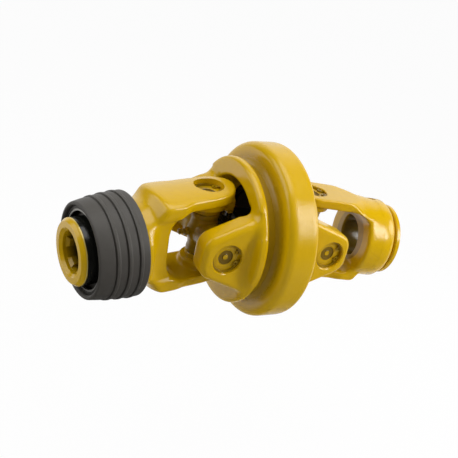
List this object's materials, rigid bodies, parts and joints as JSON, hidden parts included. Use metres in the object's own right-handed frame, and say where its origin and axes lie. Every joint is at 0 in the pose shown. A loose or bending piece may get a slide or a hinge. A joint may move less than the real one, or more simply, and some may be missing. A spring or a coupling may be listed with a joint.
{
  "type": "wide-angle power take-off universal joint",
  "caption": "Wide-angle power take-off joint: splined tractor yoke with pull collar, two crosses in a drum housing with a centring disc, and a yoke for the profile tube.",
  "frame": {"origin": "centre of the spline bore's mouth, on the hub's front face", "axes": "+X along the spline bore into the joint, +Z along the tractor yoke's ear pins, +Y to the far side of the picture's view"},
  "size_m": [0.3249, 0.1614, 0.1611],
  "materials": {
    "yellow_paint": "glossy ochre yellow paint on forged and cast steel",
    "collar_black": "dull black moulded rubber-like plastic",
    "bright_steel": "ground steel",
    "dark_steel": "dark hardened steel with oil film",
    "seal_rubber": "black rubber",
    "zinc_plate": "zinc plated steel"
  },
  "bodies": {
    "tractor_yoke": {"tractor_yoke": "yellow_paint", "left_ball_stud": "bright_steel", "collar_stop_ring": "dark_steel", "collar_spring": "bright_steel", "cup_left_top": "yellow_paint", "cup_left_bottom": "yellow_paint", "seal_left_top": "seal_rubber", "seal_left_bottom": "seal_rubber", "needles_left_yoke": "bright_steel", "clips_left_yoke": "yellow_paint"},
    "collar": {"collar_grip": "collar_black", "collar_sleeve": "bright_steel", "collar_mouth_ring": "bright_steel"},
    "lock_ball_top": {"lock_ball_top": "bright_steel"},
    "lock_ball_front": {"lock_ball_front": "bright_steel"},
    "lock_ball_back": {"lock_ball_back": "bright_steel"},
    "left_cross": {"left_cross": "yellow_paint", "left_cross_nipple": "zinc_plate"},
    "housing": {"flange_yoke": "yellow_paint", "drum_housing": "yellow_paint", "housing_nipple": "zinc_plate", "cup_left_front": "yellow_paint", "cup_left_back": "yellow_paint", "cup_right_front": "yellow_paint", "cup_right_back": "yellow_paint", "seal_left_front": "seal_rubber", "seal_left_back": "seal_rubber", "seal_right_front": "seal_rubber", "seal_right_back": "seal_rubber", "needles_left_housing": "bright_steel", "needles_right_housing": "bright_steel", "clips_left_housing": "yellow_paint", "clips_right_housing": "yellow_paint"},
    "cover_rings": {"front_cover_ring": "bright_steel", "back_cover_ring": "bright_steel"},
    "guide_disc": {"guide_disc": "bright_steel"},
    "right_cross": {"right_cross": "yellow_paint", "right_cross_nipple": "zinc_plate"},
    "tube_yoke": {"tube_yoke": "yellow_paint", "right_ball_stud": "bright_steel", "cup_right_top": "yellow_paint", "cup_right_bottom": "yellow_paint", "seal_right_top": "seal_rubber", "seal_right_bottom": "seal_rubber", "needles_right_yoke": "bright_steel", "clips_right_yoke": "yellow_paint"}
  },
  "joints": [
    {"name": "left_ear_turn", "type": "hinge", "parent": "tractor_yoke", "child": "left_cross", "pos_m": [0.126, 0, 0], "axis": [0, 0, 1], "range_deg": [-20.5, 37.5]},
    {"name": "left_pin_turn", "type": "hinge", "parent": "left_cross", "child": "housing", "pos_m": [0.126, 0, 0], "axis": [0.1478, 0.989, 0], "range_deg": [-33, 25]},
    {"name": "right_pin_turn", "type": "hinge", "parent": "housing", "child": "right_cross", "pos_m": [0.22762, -0.01519, -0.00719], "axis": [0.1478, 0.989, 0], "range_deg": [-33, 25]},
    {"name": "right_ear_turn", "type": "hinge", "parent": "right_cross", "child": "tube_yoke", "pos_m": [0.22762, -0.01519, -0.00719], "axis": [0.1376, -0.0206, 0.9903], "range_deg": [-20.5, 37.5]},
    {"name": "disc_side_slide", "type": "slide", "parent": "housing", "child": "cover_rings", "axis": [0.1478, 0.989, 0], "range_m": [-0.0218, 0.01201]},
    {"name": "disc_lift_slide", "type": "slide", "parent": "cover_rings", "child": "guide_disc", "axis": [0.069, -0.0103, 0.9976], "range_m": [-0.01777, 0.01351]},
    {"name": "collar_pull", "type": "slide", "parent": "tractor_yoke", "child": "collar", "axis": [1, 0, 0], "range_m": [0, 0.01], "stiffness_N_per_m": 3000, "springref_m": -0.008, "deforming": ["collar_spring"]},
    {"name": "lock_ball_top_lift", "type": "slide", "parent": "tractor_yoke", "child": "lock_ball_top", "axis": [0, 0, 1], "range_m": [0, 0.0028]},
    {"name": "lock_ball_front_lift", "type": "slide", "parent": "tractor_yoke", "child": "lock_ball_front", "axis": [0, -0.866, -0.5], "range_m": [0, 0.0028]},
    {"name": "lock_ball_back_lift", "type": "slide", "parent": "tractor_yoke", "child": "lock_ball_back", "axis": [0, 0.866, -0.5], "range_m": [0, 0.0028]}
  ],
  "couplings": [
    {"joint": "right_ear_turn", "follows": "left_ear_turn", "ratio": 1},
    {"joint": "right_pin_turn", "follows": "left_pin_turn", "ratio": 1},
    {"joint": "disc_side_slide", "follows": "left_ear_turn", "m_per_rad": -0.033},
    {"joint": "disc_lift_slide", "follows": "left_pin_turn", "m_per_rad": 0.0305},
    {"joint": "lock_ball_top_lift", "follows": "collar_pull", "ratio": 0.27},
    {"joint": "lock_ball_front_lift", "follows": "collar_pull", "ratio": 0.27},
    {"joint": "lock_ball_back_lift", "follows": "collar_pull", "ratio": 0.27}
  ]
}
